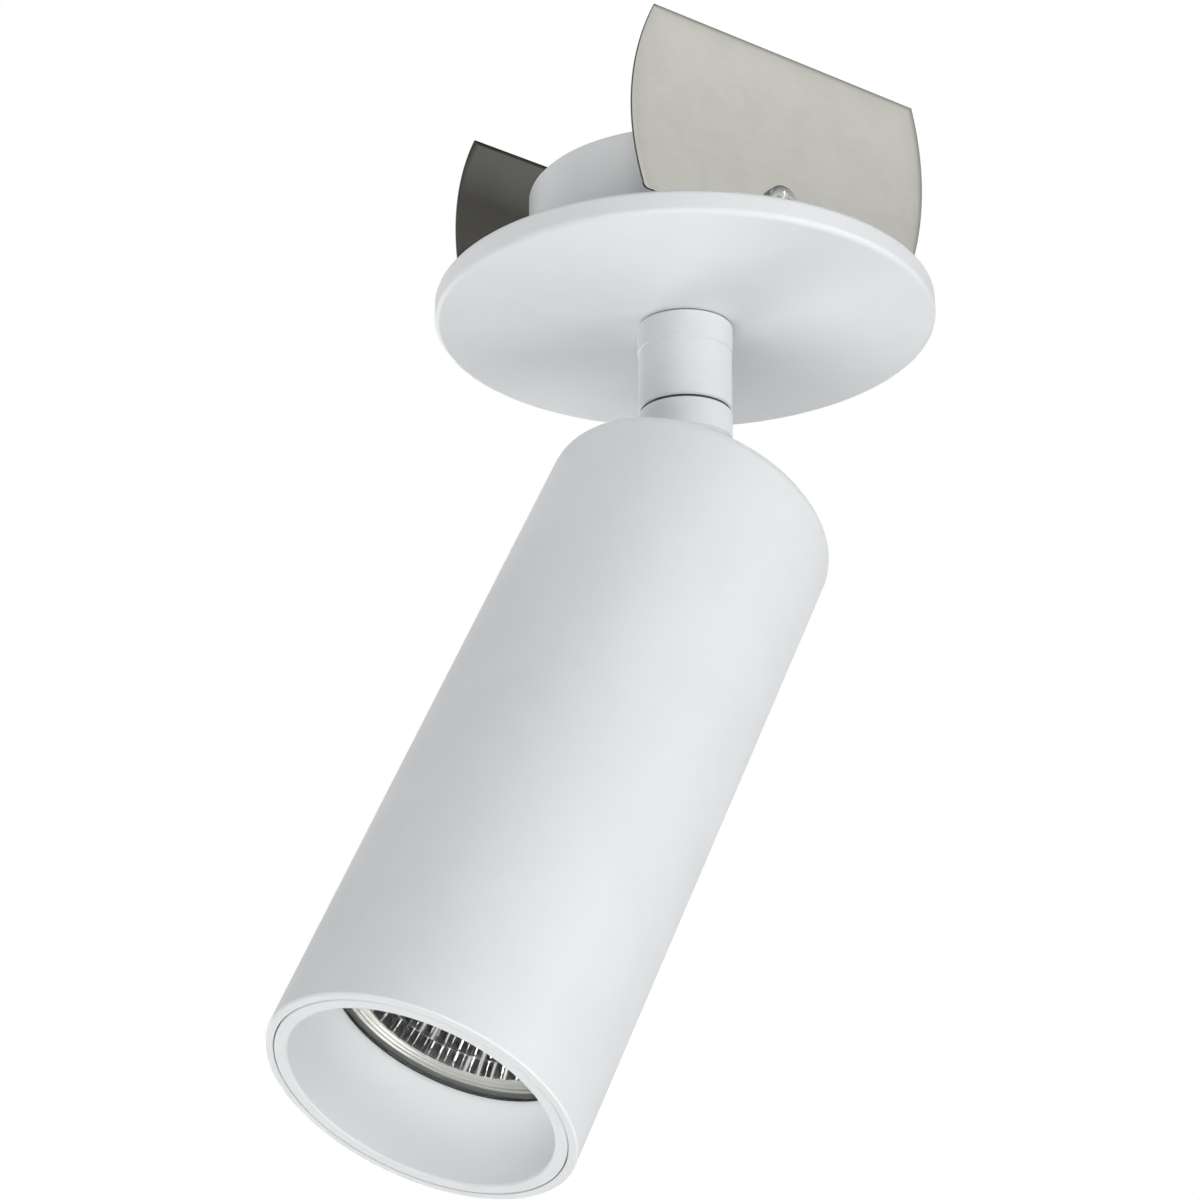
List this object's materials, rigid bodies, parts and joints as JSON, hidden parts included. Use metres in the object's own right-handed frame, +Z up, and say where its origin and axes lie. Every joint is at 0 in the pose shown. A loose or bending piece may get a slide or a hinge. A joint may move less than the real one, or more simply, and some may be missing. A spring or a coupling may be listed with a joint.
{
  "type": "recessed ceiling spotlight",
  "caption": "Cylinder spotlight on a swivelling and tilting stem under a round trim plate, held in a ceiling cut-out by spring-steel blades.",
  "frame": {"origin": "centre of the trim plate's back face, the face that lies on the ceiling, on the stem's axis", "axes": "+Z up into the ceiling along the stem's axis, +X towards the right-hand blade, -Y towards the front, where the head leans"},
  "size_m": [0.1, 0.1391, 0.2276],
  "materials": {
    "white_paint": "matt white powder coat on aluminium, fine grain",
    "spring_steel": "bare rolled spring steel, dull sheen",
    "plated_steel": "bright zinc-plated steel",
    "brass": "turned brass",
    "bronze": "sintered bronze",
    "black_rubber": "matt black rubber",
    "black_nylon": "moulded black nylon",
    "bare_aluminium": "bare extruded aluminium",
    "phosphor": "yellow phosphor in silicone, unlit",
    "holder_plastic": "moulded white plastic",
    "mirror_aluminium": "faceted mirror-bright anodised aluminium",
    "lens_glass": "clear glass"
  },
  "bodies": {
    "trim": {"trim_plate": "white_paint", "mounting_collar": "white_paint", "collar_screws": "plated_steel", "blade_screws": "plated_steel", "seat_seal": "black_rubber", "hollow_nipple": "brass", "lock_washer": "plated_steel", "lock_nut": "brass", "cable_bush": "black_nylon", "stem_cap_ring": "white_paint", "upper_stem": "white_paint", "swivel_bush": "bronze"},
    "right_blade": {"blade_right": "spring_steel"},
    "left_blade": {"blade_left": "spring_steel"},
    "arm": {"disc_spring": "plated_steel", "swivel_bolt": "plated_steel", "split_washer": "black_nylon", "stop_pin": "plated_steel", "lower_stem": "white_paint"},
    "head": {"pivot_screws": "plated_steel", "friction_washers": "black_nylon", "head_shell": "white_paint", "head_cap": "white_paint", "spacer_posts": "brass", "heat_sink": "bare_aluminium", "led_board": "bare_aluminium", "led_emitter": "phosphor", "led_holder": "holder_plastic", "holder_screws": "plated_steel", "reflector": "mirror_aluminium", "lens": "lens_glass", "lens_gasket": "black_rubber", "baffle": "white_paint"}
  },
  "joints": [
    {"name": "swivel", "type": "hinge", "parent": "trim", "child": "arm", "pos_m": [0, 0, -0.0235], "axis": [0, 0, 1], "range_deg": [-178.1, 161.9]},
    {"name": "tilt", "type": "hinge", "parent": "arm", "child": "head", "pos_m": [0, 0, -0.04874], "axis": [-0.99, -0.1409, 0], "range_deg": [-27.7, 26.3]},
    {"name": "right_blade_turn", "type": "hinge", "parent": "trim", "child": "right_blade", "pos_m": [0.0315, 0, 0.0089], "axis": [1, 0, 0], "range_deg": [-0.1, 6.1]},
    {"name": "left_blade_turn", "type": "hinge", "parent": "trim", "child": "left_blade", "pos_m": [-0.0315, 0, 0.0089], "axis": [1, 0, 0], "range_deg": [-0.1, 6.1]}
  ]
}
